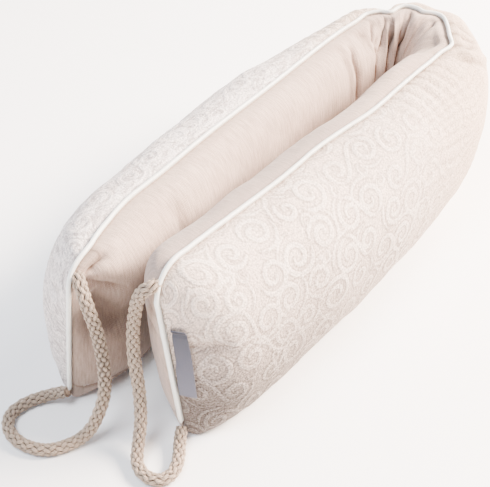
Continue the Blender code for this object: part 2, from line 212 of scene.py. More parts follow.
def middle_line(places):
    """Gives x, y and heading of the tube's middle line at places along it."""
    s = np.linspace(-ARM_LEFT, ARM_RIGHT, 2001)
    reach = np.where(s > 0, ARM_RIGHT, ARM_LEFT)
    turn = np.where(s > 0, TURN_RIGHT, TURN_LEFT)
    bow = np.where(s > 0, BOW_RIGHT, BOW_LEFT)
    straight = np.clip(abs(s) - 2*BEND_REACH, 0, None)/(reach - 2*BEND_REACH)
    heading = turn*np.tanh(s/BEND_REACH)/np.tanh(reach/BEND_REACH) + bow*straight**2
    step = s[1] - s[0]

    def walk(direction):
        travelled = np.concatenate([[0], np.cumsum((direction[1:] + direction[:-1])/2*step)])
        return travelled - np.interp(0, s, travelled)

    x = walk(np.cos(heading))
    y = walk(-np.sin(heading))
    return np.interp(places, s, x), np.interp(places, s, y), np.interp(places, s, heading)


def seam_sway(places):
    """How far the top seam lies outward of its smooth line, in metres."""
    return humps(places, SEAM_SWAYS)/1000


def distance_to_end(places):
    return np.minimum(ARM_RIGHT - places, places + ARM_LEFT)


def rounded_corner(to_end, radius):
    """How far a corner of this radius falls below the straight edge."""
    return radius - np.sqrt(radius**2 - np.clip(radius - to_end, 0, radius)**2)


def smooth_surface(places, angles, side):
    """The tube's points without folds, a row for each place. Angles are one row, or one for each place."""
    x, y, heading = middle_line(places)
    to_end = distance_to_end(places)
    taper_length = np.where(places > 0, TAPER_RIGHT, TAPER_LEFT)
    taper = (1 - (1 - np.clip(to_end/taper_length, 0, 1))**TAPER_POWER)**TAPER_ROOT
    bulge = read_section(places, OUTER if side > 0 else INNER)/1000
    height = read_section(places, HEIGHT)/1000
    lean = np.tan(np.radians(read_section(places, LEAN)))
    top = height - rounded_corner(to_end, TOP_CORNER)
    bottom = rounded_corner(to_end, BOTTOM_CORNER) - FLOOR_SINK*np.clip(to_end/END_SPREAD, 0, 1)
    rise = (1 + np.sin(angles))/2
    width = SEAM_EDGE + (bulge - SEAM_EDGE)*taper
    fullness = FULLNESS_OUTER if side > 0 else FULLNESS_INNER
    from_seam = width[:, None]*np.abs(np.cos(angles))**fullness
    across = (height*lean/2)[:, None]*(1 - 2*rise) + side*from_seam
    across = across + seam_sway(places)[:, None]*smooth_step((rise - SWAY_FOOT)/(1 - SWAY_FOOT))
    valley = SEAM_VALLEY*smooth_step(to_end/VALLEY_FADE)
    z = bottom[:, None] + (top - bottom)[:, None]*rise
    z = z - valley[:, None]*np.exp(-(from_seam/VALLEY_WIDTH)**2)*(angles > 0)
    z = np.maximum(z, 0)
    px = x[:, None] + np.sin(heading)[:, None]*across
    py = y[:, None] + np.cos(heading)[:, None]*across
    return np.stack([px, py, z], -1) + BEND_AT


def surface_normals(places, angles, side):
    """Outward normals of the smooth surface, from small steps along it and up it."""
    small_place = 0.0004
    small_angle = 0.01
    inside = np.clip(places, -ARM_LEFT + small_place, ARM_RIGHT - small_place)
    up_angles = np.clip(angles, -math.pi/2 + small_angle, math.pi/2 - small_angle)
    behind, ahead = (smooth_surface(inside + step, up_angles, side) for step in (-small_place, small_place))
    under, over = (smooth_surface(inside, up_angles + step, side) for step in (-small_angle, small_angle))
    return unit(np.cross(over - under, ahead - behind)*side)


def random_hills(u, v, size, seed):
    """Smooth random hills of about this size over cloth coordinates, from -1 to 1."""
    count = 256
    heights = np.random.default_rng(seed).uniform(-1, 1, (count, count))
    column = np.floor(u/size).astype(int)
    row = np.floor(v/size).astype(int)
    across = smooth_step(u/size - column)
    up = smooth_step(v/size - row)
    low, high = (
        heights[column % count, at % count]*(1 - across) + heights[(column + 1) % count, at % count]*across
        for at in (row, row + 1))
    return low*(1 - up) + high*up


def hills(u, v, rows):
    """Adds up random hills, each row their height and size in metres and their seed."""
    return sum(high*random_hills(u, v, size, seed) for high, size, seed in rows)


def creased(places, rises, side):
    """How deep the creases press in, in metres, and how much shade is painted along them, at each place and
    rise.
    """
    across = places*1000 + 0*rises
    up = rises*RISE_SPAN
    depth = np.zeros(up.shape)
    dark = np.zeros(up.shape)
    for crease_side, half_width, deepest, sharpness, line in CREASES:
        if crease_side != side:
            continue
        line = np.array(line, float)*(1, RISE_SPAN)
        starts = distance_along(line)
        nearest = np.full(up.shape, 1e9)
        travelled = np.zeros(up.shape)
        for start, end, before, after in zip(line[:-1], line[1:], starts[:-1], starts[1:]):
            way = end - start
            t = np.clip(((across - start[0])*way[0] + (up - start[1])*way[1])/(after - before)**2, 0, 1)
            distance = np.hypot(across - start[0] - t*way[0], up - start[1] - t*way[1])
            closer = distance < nearest
            nearest = np.where(closer, distance, nearest)
            travelled = np.where(closer, before + t*(after - before), travelled)
        share = travelled/starts[-1]
        fade = smooth_step((1 - share)/0.35)*(0.6 + 0.4*smooth_step(share/0.12))
        shape = fade*np.exp(-(nearest/half_width)**sharpness)
        depth = depth + deepest/1000*shape
        if sharpness < SOFT_HOLLOW:
            line_width = max(CREASE_LINE, 0.45*half_width)
            shape = fade*min(1, deepest/FULL_DARK[side])*np.exp(-nearest/line_width)
        else:
            shape = shape*deepest/HOLLOW_DARK
        dark = np.maximum(dark, shape)
    return depth, dark


def near_seam(places, rises):
    """0 on the seams and at the pinched ends, 1 a few millimetres away, so that relief leaves them alone."""
    top = smooth_step((1 - rises)/0.010)
    foot = smooth_step(rises/0.010)
    return top*foot*smooth_step(distance_to_end(places)/0.006)


def even_angles(places, side, count):
    """Angles up the side that divide each section's curve evenly, and the length of each section's curve."""
    dense = np.linspace(-math.pi/2, math.pi/2, 241)
    travelled = [distance_along(section) for section in smooth_surface(places, dense, side)]
    angles = [np.interp(np.linspace(0, row[-1], count), row, dense) for row in travelled]
    return np.array(angles), np.array([row[-1] for row in travelled])


def even_places(side, step):
    """Places whose sections lie evenly along the side's mid-height, and their lengths along it."""
    dense = np.linspace(-ARM_LEFT, ARM_RIGHT, 4001)
    travelled = distance_along(smooth_surface(dense, MID_HEIGHT, side)[:, 0])
    lengths = np.linspace(0, travelled[-1], round(travelled[-1]/step) + 1)
    return np.interp(lengths, travelled, dense), lengths


# The filling's unevenness under each fabric: height and size in metres, and seed. The cotton's slubs are
# stretched upright.
COTTON_HILLS = [(0.0012, 0.045, 11), (0.0005, 0.018, 12)]
COTTON_SLUBS = [(0.00018, 0.006, 13)]
SLUB_STRETCH = 2.5
VELOUR_HILLS = [(0.0013, 0.040, 21), (0.0006, 0.016, 22)]
BOTTOM_SEAM = 0.115
BOTTOM_SEAM_DEEP = 0.0016
CHANNEL_PLACE = -0.385
CHANNEL_SPAN = 0.056
CHANNEL_TOP = 0.86
CHANNEL_SHADE = 0.56
SEAM_SHADE = 0.0030

# Wrinkles of the velour beside the piping, and long faint arcs beside the bend where the pattern is stretched
WRINKLE_SPANS = [(118, 42, 1), (-70, 40, 0.5), (230, 60, 0.35)]
WRINKLE_HIGH = 0.0012
WRINKLE_PITCH = 0.0115
WRINKLE_REACH = 0.022
ARC_SPAN = [(115, 55, 1)]
ARC_HIGH = 0.00022
ARC_PITCH = 0.0078


def cotton_surface(places, angles, lengths, heights):
    """The plain inner panel with its folds and the soft unevenness of the filling, and the shade painted on
    it.
    """
    rises = (1 + np.sin(angles))/2
    u = lengths[:, None] + 0*angles
    relief = hills(u, heights, COTTON_HILLS) + hills(u, heights/SLUB_STRETCH, COTTON_SLUBS)
    bottom_seam = np.exp(-((rises - BOTTOM_SEAM)*100)**2)
    depth, dark = creased(places[:, None], rises, -1)
    pressed = (relief - depth - BOTTOM_SEAM_DEEP*bottom_seam)*near_seam(places[:, None], rises)
    points = smooth_surface(places, angles, -1) + surface_normals(places, angles, -1)*pressed[..., None]
    from_top = heights[:, -1:] - heights
    # The near end of the left arm lies in the right arm's shadow, which is painted into its colour
    channel = np.exp(-((places[:, None] - CHANNEL_PLACE)/CHANNEL_SPAN)**2)
    channel = channel*smooth_step((CHANNEL_TOP - rises)/0.25)
    # Painted shade in the ditches of the top seam and the low seam
    seams = 0.5*np.exp(-(from_top/SEAM_SHADE)**2) + 0.4*bottom_seam
    return above(points), np.clip(dark + seams + CHANNEL_SHADE*channel, 0, 1)


def velour_shape(places, angles, lengths, heights):
    """The outer panel's own shape: puckers at the bend, wrinkles beside the piping, soft unevenness, and the
    shade painted in its creases, wrinkle hollows and beside the seam.
    """
    rises = (1 + np.sin(angles))/2
    away = near_seam(places[:, None], rises)
    u = lengths[:, None] + 0*angles
    from_top = heights[:, -1:] - heights
    span = humps(places[:, None], WRINKLE_SPANS)*np.exp(-from_top/WRINKLE_REACH)
    wave = np.sin(2*math.pi*(u + 0.12*from_top + hills(u, heights, [(0.004, 0.03, 23)]))/WRINKLE_PITCH)
    arcs = humps(places[:, None], ARC_SPAN)*smooth_step((from_top - 0.012)/0.02)
    arc_wave = np.sin(2*math.pi*(from_top + hills(u, heights, [(0.010, 0.034, 24)]))/ARC_PITCH)
    relief = hills(u, heights, VELOUR_HILLS) + ARC_HIGH*arcs*arc_wave
    relief = relief + WRINKLE_HIGH*span*wave*smooth_step(from_top/0.004)
    depth, dark = creased(places[:, None], rises, 1)
    normals = surface_normals(places, angles, 1)
    points = above(smooth_surface(places, angles, 1) + normals*((relief - depth)*away)[..., None])
    # Painted shade in the wrinkles' hollows, in the arcs' troughs and beside the piped seam
    hollow_shade = 0.95*span*np.clip(-wave, 0, 1)**2 + 0.38*arcs*np.clip(-arc_wave, 0, 1)**2
    return points, normals, away, np.clip(dark + hollow_shade + 0.7*np.exp(-(from_top/SEAM_SHADE)**2), 0, 1)


# The velour's scrolls: broad curls on a loose lattice, paired by S curves, with echo arcs and small curls
SCROLL_SPACING = 0.0270
SCROLL_ROWS = 0.86
SCROLL_SCATTER = 0.0040
SCROLL_RADII = (0.0080, 0.0135)
SCROLL_TURNS = (1.05, 1.45)
ECHO_OUT = 0.0042
SMALL_CURL_OUT = 0.0065
SMALL_CURL = 0.0052
BAND_HIGH = 0.00050
SCROLL_SEED = 7
BAND_HALF = 0.0017
CRUSHED_FROM = 0.50
CLEAR_FROM = 0.65
CLEAR_SPAN = 0.13


def spiral(centre, radius, turns, start, hand, tail=0.0):
    """Points of one curl from its eye to its rim, and on past the rim by this share of a turn."""
    t = np.linspace(0, 1 + tail/turns, 140)
    reach = radius*(0.22 + 0.78*t**0.9)
    turn = start + hand*2*math.pi*turns*(t - 1)
    return centre + np.stack([np.cos(turn)*reach, np.sin(turn)*reach], 1)


def bridge(first, second):
    """A smooth curve from the rim of one curl to the rim of another, leaving each along its own way."""
    reach = np.linalg.norm(second[-1] - first[-1])*1.2
    leave = unit(first[-1] - first[-3])*reach
    arrive = -unit(second[-1] - second[-3])*reach
    return smooth_blend(np.linspace(0, 1, 60)[:, None], first[-1], leave, second[-1], arrive)


def scroll_lines(length, girth):
    """All the scroll lines over the cloth, each as its points in metres and its band's width, 1 when full."""
    chance = np.random.default_rng(SCROLL_SEED)
    columns = round(length/SCROLL_SPACING)
    rows = round(girth/(SCROLL_SPACING*SCROLL_ROWS))
    lines = []
    for row in range(rows + 1):
        first = chance.integers(0, 2)
        joined = None
        for column in range(-1, columns + 1):
            offset = 0.5 if row % 2 else 0.0
            centre = np.array([(column + offset)*length/columns, row*girth/rows])
            centre = centre + chance.uniform(-SCROLL_SCATTER, SCROLL_SCATTER, 2)
            radius = chance.uniform(*SCROLL_RADII)
            turns = chance.uniform(*SCROLL_TURNS)
            hand = 1 if (column + first)//2 % 2 else -1
            leads = (column + first) % 2 == 0
            toward = 0 if leads else math.pi
            start = toward - hand*math.pi/2 + chance.uniform(-0.5, 0.5)
            paired = chance.random() < 0.72
            if leads or joined is None:
                line = spiral(centre, radius, turns, start, hand, 0 if paired else 0.22)
                joined = (line, hand) if paired and leads else None
            else:
                line = spiral(centre, radius, turns, start, joined[1])
                lines.append((bridge(joined[0], line), 0.85))
                joined = None
            lines.append((line, 1.0))
            if chance.random() < 0.9:
                arc = chance.uniform(0, 2*math.pi) + np.linspace(0, chance.uniform(1.2, 2.4), 50)
                echo = radius + ECHO_OUT
                lines.append((centre + np.stack([np.cos(arc)*echo, np.sin(arc)*echo], 1), 0.60))
            if chance.random() < 0.45:
                aside = chance.uniform(0, 2*math.pi)
                small = centre + np.array([math.cos(aside), math.sin(aside)])*(radius + SMALL_CURL_OUT)
                lines.append((spiral(small, SMALL_CURL, 0.9, chance.uniform(0, 2*math.pi), -hand), 0.6))
    return lines


def distance_to_scrolls(u, v, length, girth):
    """Distance in metres from each cloth point to the nearest scroll line, as if its band had full width."""
    spaced = []
    widths = []
    for line, width in scroll_lines(length, girth):
        travelled = distance_along(line)
        even = np.arange(0, travelled[-1], 0.0004)
        spaced.append(np.stack([np.interp(even, travelled, line[:, axis]) for axis in range(2)], 1))
        close = np.minimum(even, travelled[-1] - even)
        widths.append(width*(0.45 + 0.55*smooth_step(close/0.010)))
    spaced = np.vstack(spaced)
    tree = kdtree.KDTree(len(spaced))
    for index, point in enumerate(spaced):
        tree.insert((*point, 0), index)
    tree.balance()
    found = np.array([tree.find((a, b, 0))[1:] for a, b in zip(u.ravel(), v.ravel())])
    widths = np.concatenate(widths)[found[:, 0].astype(int)]
    return (found[:, 1] + BAND_HALF*(1 - widths)).reshape(u.shape)


def colour(code):
    """An sRGB hex colour as linear red, green, blue and alpha."""
    channels = [int(code[place:place + 2], 16)/255 for place in (0, 2, 4)]
    linear = [c/12.92 if c <= 0.04045 else ((c + 0.055)/1.055)**2.4 for c in channels]
    return (*linear, 1)


def set_input(tree, socket, value):
    """Links a node by its Fac or else its first output, links an output, and sets any other value."""
    if isinstance(value, bpy.types.Node):
        value = value.outputs.get("Fac") or next(output for output in value.outputs if output.enabled)
    if isinstance(value, bpy.types.NodeSocket):
        tree.links.new(value, socket)
    else:
        socket.default_value = value


def add_node(tree, kind, inputs=None, **settings):
    """Adds a node with its settings and its inputs, each a node, an output or a value."""
    made = tree.nodes.new(kind)
    for name, value in settings.items():
        setattr(made, name, value)
    for name, value in (inputs or {}).items():
        set_input(tree, made.inputs[name], value)
    return made


def new_material(name, roughness, **constants):
    """A material, its constant values on the shader's own sockets, with its tree and cloth coordinates."""
    material = bpy.data.materials.new(name)
    material.use_nodes = True
    tree = material.node_tree
    shader = tree.nodes["Principled BSDF"]
    shader.inputs["Roughness"].default_value = roughness
    for socket, value in constants.items():
        shader.inputs[socket.replace("_", " ")].default_value = value
    return material, tree, add_node(tree, "ShaderNodeUVMap", uv_map="cloth")


def coat(tree, shade, *layers, **settings):
    """Lays colours over a shade. Each layer is a colour, then masks and shares that multiply to its part."""
    for finish, part, *others in layers:
        for other in others:
            part = add_node(tree, "ShaderNodeMath", {0: part, 1: other}, operation="MULTIPLY")
        finish = colour(finish) if isinstance(finish, str) else finish
        mixed = {"Factor": part, "A": shade, "B": finish}
        shade = add_node(tree, "ShaderNodeMix", mixed, data_type="RGBA", **settings)
    return shade


def finish_material(tree, shade, *bumps):
    """Gives the shader its colour and its bumps, coarsest first, each a height, its distance and strength."""
    normal = {}
    for height, distance, strength in bumps:
        inputs = {"Height": height, "Distance": distance, "Strength": strength, **normal}
        normal = {"Normal": add_node(tree, "ShaderNodeBump", inputs)}
    for name, value in {"Base Color": shade, **normal}.items():
        set_input(tree, tree.nodes["Principled BSDF"].inputs[name], value)


def embossed_velour():
    """Short-pile polyester velour, embossed by heat: the scrolls stand as broad soft bands, painted a little
    lighter, with a painted highlight along each edge and a painted thin shadow round them, the nap takes the
    light in patches, and the pile is grainy. The left arm's nap is crushed: cooler, with grey streaks and
    duller scrolls. Shade is painted in the creases and on the lower side near the right end."""
    material, tree, cloth = new_material(
        "embossed_velour", 0.86, Sheen_Weight=0.12, Sheen_Roughness=0.45, Specular_IOR_Level=0.2,
        Sheen_Tint=colour("ffeedd"))
    distance, fold, clear = (
        add_node(tree, "ShaderNodeAttribute", attribute_name=name)
        for name in ("scroll_distance", "fold_shade", "scroll_clear"))
    place = add_node(tree, "ShaderNodeSeparateXYZ", {"Vector": cloth}).outputs
    where = add_node(tree, "ShaderNodeTexCoord").outputs["Object"]
    where = add_node(tree, "ShaderNodeSeparateXYZ", {"Vector": where}).outputs
    streaked = add_node(
        tree, "ShaderNodeMapping", {"Vector": cloth, "Rotation": (0, 0, 0.5), "Scale": (75, 170, 1)})
    # Pile grain of about 1.5 mm, drawn coarser than the real 0.3 mm so that it shows, and clumps of 3 mm
    grain, clumps, patches, streaks = (
        add_node(tree, "ShaderNodeTexNoise", {
            "Vector": vector, "Scale": scale, "Detail": detail, "Roughness": rough, "Distortion": distortion})
        for vector, scale, detail, rough, distortion in (
            (cloth, 680, 2, 0.7, 0), (cloth, 360, 2, 0.6, 0), (cloth, 38, 2, 0.5, 0.8),
            (streaked, 1, 6, 0.65, 1.2)))
    # The two painted highlight lines run 1.6 mm from the band's middle and the painted shadow outline 3.1 mm,
    # and the grain frays them
    shifted = add_node(tree, "ShaderNodeMath", {0: clumps, 1: 0.0012, 2: distance}, operation="MULTIPLY_ADD")
    from_line, from_edge = (
        add_node(tree, "ShaderNodeMath", {0: add_node(
            tree, "ShaderNodeMath", {0: shifted, 1: middle}, operation="SUBTRACT")}, operation="ABSOLUTE")
        for middle in (0.0016, 0.0031))
    # The left arm ends 0.45 m along the panel, and the bend lies behind. The lower side is painted darker as
    # shade, most of all near the right end.
    crushed, bend, low, highlight_line, band, outline, dull = (
        add_node(tree, "ShaderNodeMapRange", {"Value": value, "From Min": none, "From Max": full},
                 interpolation_type="SMOOTHSTEP")
        for value, none, full in (
            (place["X"], 0.54, 0.44), (where["Y"], 0.02, 0.17), (place["Y"], 0.165, 0.055),
            (from_line, 0.0009, 0.0001), (shifted, 0.0028, 0.0018), (from_edge, 0.0010, 0.0001),
            (streaks, 0.46, 0.58)))
    near = add_node(tree, "ShaderNodeMapRange", {
        "Value": place["X"], "From Min": 0.66, "From Max": 0.92, "To Min": 0.25, "To Max": 1.0})
    lower_side_shade = add_node(tree, "ShaderNodeMath", {0: low, 1: near}, operation="MULTIPLY")
    # In the painted shade of the lower side the scrolls' painted highlights are duller and the grain shows
    # most
    dulled, darkest, brightest = (
        add_node(tree, "ShaderNodeMapRange", {"Value": lower_side_shade, "To Min": plain, "To Max": shaded})
        for plain, shaded in ((0.52, 0.10), (0.68, 0.38), (1.22, 1.60)))
    lit = add_node(tree, "ShaderNodeMath", {0: clear, 1: dulled}, operation="MULTIPLY")
    crushed_nap = coat(tree, colour("efe9e8"), ("b1a9ab", dull))
    shade = coat(
        tree, colour("d2baac"), ("eed9cb", patches), (crushed_nap, crushed, 0.66),
        # Round the bend the velour is painted a warmer, darker tone
        ("d3b69c", bend, 0.75),
        # Painted shade on the lower side, painted highlights and a painted shadow outline on the scrolls,
        # painted shade in the creases
        ("5a514c", lower_side_shade, 0.94), ("f6e8de", band, 0.22, lit), ("fff6ee", highlight_line, 0.66, lit),
        ("3a302a", outline, 0.40, clear), ("5f4c40", fold, 0.75))
    speck = add_node(tree, "ShaderNodeMapRange", {
        "Value": grain, "From Min": 0.36, "From Max": 0.64, "To Min": darkest, "To Max": brightest})
    shade = coat(tree, shade, (speck, 1.0), blend_type="MULTIPLY")
    finish_material(tree, shade, (band, 0.0005, 0.5), (clumps, 0.0012, 0.7), (grain, 0.0009, 0.9))
    return material


def brushed_cotton():
    """Plain-woven brushed cotton: matt, with a fine upright grain of slubby threads and a peach cast."""
    material, tree, cloth = new_material(
        "brushed_cotton", 0.90, Sheen_Weight=0.25, Sheen_Roughness=0.5, Specular_IOR_Level=0.25,
        Sheen_Tint=colour("fff1e6"))
    # Warp threads 1.1 mm apart and weft 1.3 mm, about twice the real spacing, so that they show
    warp, weft = (
        add_node(tree, "ShaderNodeTexWave", {
            "Vector": cloth, "Scale": scale, "Distortion": wander, "Detail": 1, "Detail Scale": fine},
            wave_type="BANDS", bands_direction=way)
        for way, scale, wander, fine in (("X", 300, 1.6, 0.8), ("Y", 240, 2.2, 0.6)))
    stretched = add_node(tree, "ShaderNodeMapping", {"Vector": cloth, "Scale": (700, 80, 1)})
    slubs, cloudy, lint = (
        add_node(tree, "ShaderNodeTexNoise", {
            "Vector": vector, "Scale": scale, "Detail": detail, "Roughness": rough})
        for vector, scale, detail, rough in (
            (stretched, 1, 3, 0.5), (cloth, 28, 2, 0.5), (cloth, 900, 2, 0.7)))
    threads = 0.0
    for part, share in ((warp, 0.35), (weft, 0.35), (lint, 1.7), (slubs, 2.2)):
        threads = add_node(tree, "ShaderNodeMath", {0: part, 1: share, 2: threads}, operation="MULTIPLY_ADD")
    tint = add_node(tree, "ShaderNodeMapRange", {
        "Value": threads, "From Min": 1.7, "From Max": 2.9, "To Min": 0.70, "To Max": 1.22})
    shade = coat(tree, colour("b3998b"), ("c2ab9b", cloudy))
    shade = coat(tree, shade, (tint, 1.0), blend_type="MULTIPLY")
    # Inside the right arm the cloth is painted cooler and darker, as shade, but not at its pinched end
    place = add_node(tree, "ShaderNodeSeparateXYZ", {"Vector": cloth}).outputs["X"]
    right_arm_shade, inside = (
        add_node(tree, "ShaderNodeMapRange", {"Value": place, "From Min": none, "From Max": full},
                 interpolation_type="SMOOTHSTEP")
        for none, full in ((0.46, 0.56), (COTTON_LENGTH - 0.010, COTTON_LENGTH - 0.030)))
    # Painted shade, from fold_shade, darkens the bottoms of the folds where less light gathers, the seams and
    # the right arm's shadow
    fold = add_node(tree, "ShaderNodeAttribute", attribute_name="fold_shade")
    shade = coat(tree, shade, ("5d5a5f", right_arm_shade, inside, 0.45), ("49392f", fold, 0.80))
    finish_material(tree, shade, (threads, 0.00030, 0.5))
    return material


def ivory_satin():
    """Polyester satin wound on a cord: glossy ivory with fine threads slanting round it."""
    material, tree, cloth = new_material(
        "ivory_satin", 0.30, Specular_IOR_Level=0.6, Sheen_Weight=0.15, Sheen_Roughness=0.3)
    turned = add_node(tree, "ShaderNodeMapping", {"Vector": cloth, "Rotation": (0, 0, math.radians(40))})
    # Slanting threads 0.7 mm apart, coarser than the real satin's, so that they show
    threads = add_node(
        tree, "ShaderNodeTexWave", {"Vector": turned, "Scale": 450, "Distortion": 1.5, "Detail": 1})
    puckers = add_node(tree, "ShaderNodeTexNoise", {"Vector": cloth, "Scale": 170, "Detail": 2})
    shade = coat(tree, colour("e0e0d8"), ("f8f8f2", puckers))
    finish_material(tree, shade, (puckers, 0.0009, 0.5), (threads, 0.00012, 0.5))
    return material


def braided_cotton():
    """Soft cotton rope: matt, each strand a bundle of twisted yarns that catch the light side by side."""
    material, tree, cloth = new_material(
        "braided_cotton", 0.92, Sheen_Weight=0.3, Sheen_Roughness=0.5, Specular_IOR_Level=0.2,
        Sheen_Tint=colour("fff4e4"))
    turned = add_node(tree, "ShaderNodeMapping", {"Vector": cloth, "Rotation": (0, 0, math.radians(28))})
    # Yarns about 0.8 mm wide, slanting along each strand
    yarns = add_node(tree, "ShaderNodeTexWave", {
        "Vector": turned, "Scale": 400, "Distortion": 3, "Detail": 2, "Detail Scale": 1.2},
        bands_direction="Y")
    lint = add_node(tree, "ShaderNodeTexNoise", {"Vector": cloth, "Scale": 900, "Detail": 3})
    tint = add_node(tree, "ShaderNodeMapRange", {
        "Value": lint, "From Min": 0.3, "From Max": 0.7, "To Min": 0.88, "To Max": 1.08})
    shade = coat(tree, colour("a88d77"), ("e0c9b3", yarns))
    shade = coat(tree, shade, (tint, 1.0), blend_type="MULTIPLY")
    # Painted shade: darker where a strand dives under the next, along its flanks, and in the tube's shadow
    strand_shade = add_node(tree, "ShaderNodeAttribute", attribute_name="painted_strand_shade")
    hole = add_node(tree, "ShaderNodeMapRange", {"Value": strand_shade, "From Min": 0.22, "From Max": 0.90},
                    interpolation_type="SMOOTHSTEP")
    shade = coat(tree, shade, ("3d2c22", hole, 0.97))
    finish_material(tree, shade, (yarns, 0.0008, 0.9), (lint, 0.0005, 0.6))
    return material


def label_satin():
    """Woven satin ribbon, silver-grey: smooth and slightly shiny, with fine threads across it."""
    material, tree, cloth = new_material("woven_label_satin", 0.5, Specular_IOR_Level=0.25)
    threads = add_node(
        tree, "ShaderNodeTexWave", {"Vector": cloth, "Scale": 520, "Distortion": 0.6}, bands_direction="Y")
    # It is painted lighter toward its free lower edge, where it catches more light, and painted darker along
    # its folded top edge, as the fold's shadow
    place = add_node(tree, "ShaderNodeSeparateXYZ", {"Vector": cloth}).outputs["Y"]
    lower, hem_shadow = (
        add_node(tree, "ShaderNodeMapRange", {"Value": place, "From Min": none, "From Max": full})
        for none, full in ((LABEL_HIGH, 0.0), (LABEL_HIGH - 0.0035, LABEL_HIGH - 0.0010)))
    shade = coat(tree, colour("35353f"), ("63636f", lower), ("26262b", hem_shadow, 0.85))
    finish_material(tree, shade, (threads, 0.00012, 0.5))
    return material


def mottled(name, roughness, scale, dark, light, **constants):
    """A plain finish with a fine even mottling over two close shades."""
    material, tree, _ = new_material(name, roughness, **constants)
    where = add_node(tree, "ShaderNodeTexCoord").outputs["Object"]
    mottle = add_node(tree, "ShaderNodeTexNoise", {"Vector": where, "Scale": scale})
    finish_material(tree, coat(tree, colour(dark), (light, mottle)))
    return material


def link_object(name, data, material=None):
    """Links a new object at the origin, with this material if it takes one."""
    made = bpy.data.objects.new(name, data)
    if material:
        data.materials.clear()
        data.materials.append(material)
    bpy.context.scene.collection.objects.link(made)
    return made


def new_piece(*names):
    """An empty bmesh, its layer of cloth coordinates and a layer of numbers for each name."""
    bm = bmesh.new()
    return bm, bm.loops.layers.uv.new("cloth"), *(bm.verts.layers.float.new(name) for name in names)


def add_grid(bm, points, uv, layer, flip=False, wrap=False):
    """Adds a grid of points as quads with their cloth coordinates, and gives back its vertices."""
    grid = [[bm.verts.new(point) for point in row] for row in points]
    columns = len(grid[0])
    for row in range(len(grid) - 1):
        for column in range(columns if wrap else columns - 1):
            after = (column + 1) % columns
            places = [(row, column, column), (row + 1, column, column),
                      (row + 1, after, column + 1), (row, after, column + 1)]
            if flip:
                places = places[::-1]
            face = bm.faces.new([grid[r][c] for r, c, _ in places])
            for loop, (r, _, c) in zip(face.loops, places):
                loop[layer].uv = uv[r][c]
    return grid


def flat_cloth(along, around):
    """Cloth coordinates of a grid, from its places along and around."""
    return np.stack(np.broadcast_arrays(along[:, None], around), -1)


def store(grid, layer, values):
    """Keeps one number for each vertex of a grid."""
    for row, found in zip(grid, values):
        for vertex, value in zip(row, found):
            vertex[layer] = value


def close_ends(bm, grid):
    return [bm.faces.new(ring) for ring in (grid[0], grid[-1])]


def add_tube(bm, layer, middle, across, over, wide, high, cloth):
    """Adds a closed tube along a path, with its half widths both ways across, and gives back its vertices."""
    turn = np.linspace(0, 2*math.pi, cloth.shape[1])
    ring = across[:, None]*(np.cos(turn)*wide)[..., None] + over[:, None]*(np.sin(turn)*high)[..., None]
    grid = add_grid(bm, (middle[:, None] + ring)[:, :-1], cloth, layer, wrap=True)
    close_ends(bm, grid)
    return grid


def finish_piece(bm, name, material):
    """Turns a bmesh into a smooth-shaded piece with outward faces."""
    bmesh.ops.recalc_face_normals(bm, faces=bm.faces)
    mesh = bpy.data.meshes.new(name)
    bm.to_mesh(mesh)
    bm.free()
    mesh.shade_smooth()
    return link_object(name, mesh, material)


def stitch_edges(bm, fine, coarse):
    """Joins a fine row of vertices to a coarser one that runs beside it."""
    ratio = (len(fine) - 1)/(len(coarse) - 1)
    last = 0
    for index in range(len(coarse) - 1):
        stop = round((index + 1)*ratio)
        for step in range(last, stop):
            bm.faces.new((coarse[index], fine[step], fine[step + 1]))
        bm.faces.new((coarse[index], fine[stop], coarse[index + 1]))
        last = stop


def scroll_clearness(u, v):
    """How clearly the scrolls show: fully on the right arm, less on the crushed left one, faintly between."""
    right = smooth_step((u - CLEAR_FROM)/CLEAR_SPAN)
    left = 0.76*smooth_step((CRUSHED_FROM - u)/CLEAR_SPAN)
    worn = 0.75 + 0.25*random_hills(u, v, 0.035, 41)
    return np.maximum(0.14 + 0.86*right, left)*worn


def make_velour(material):
    """The velour panel: a finely divided face with its scrolls raised, and a plain back 1.8 mm behind it."""
    thickness = 0.0018
    columns = 124
    places, lengths = even_places(1, 0.00135)
    angles, girths = even_angles(places, 1, columns)
    share = np.linspace(0, 1, columns)
    girth = girths.max()
    points, normals, away, folds = velour_shape(places, angles, lengths, girths[:, None]*share)
    u = lengths[:, None] + 0*angles
    v = girth/2 + (share - 0.5)*np.maximum(girths, 0.8*girth)[:, None]
    distance = distance_to_scrolls(u, v, lengths[-1], girth)
    clear = scroll_clearness(u, v)
    band = smooth_step((BAND_HALF + 0.0010 - distance)/0.0018) - 0.45*np.exp(-(distance/0.0007)**2)
    points = above(points + normals*(BAND_HIGH*band*away*clear)[..., None])
    cloth = np.stack([u, v], -1)
    bm, layer, *kept = new_piece("scroll_distance", "fold_shade", "scroll_clear")
    front = add_grid(bm, points, cloth, layer, flip=True)
    for kept_layer, values in zip(kept, (distance, folds, clear)):
        store(front, kept_layer, values)
    rows = np.unique(np.round(np.linspace(0, len(places) - 1, 180)).astype(int))
    picks = np.ix_(rows, np.round(np.linspace(0, columns - 1, 15)).astype(int))
    inset = thickness*smooth_step(np.minimum(share, 1 - share)[picks[1]]/0.03)
    back = add_grid(bm, points[picks] - normals[picks]*inset[..., None], cloth[picks], layer)
    for fine, coarse in ((front, back), (list(zip(*front)), list(zip(*back)))):
        stitch_edges(bm, fine[0], coarse[0])
        stitch_edges(bm, fine[-1], coarse[-1])
    return finish_piece(bm, "velour_panel", material)


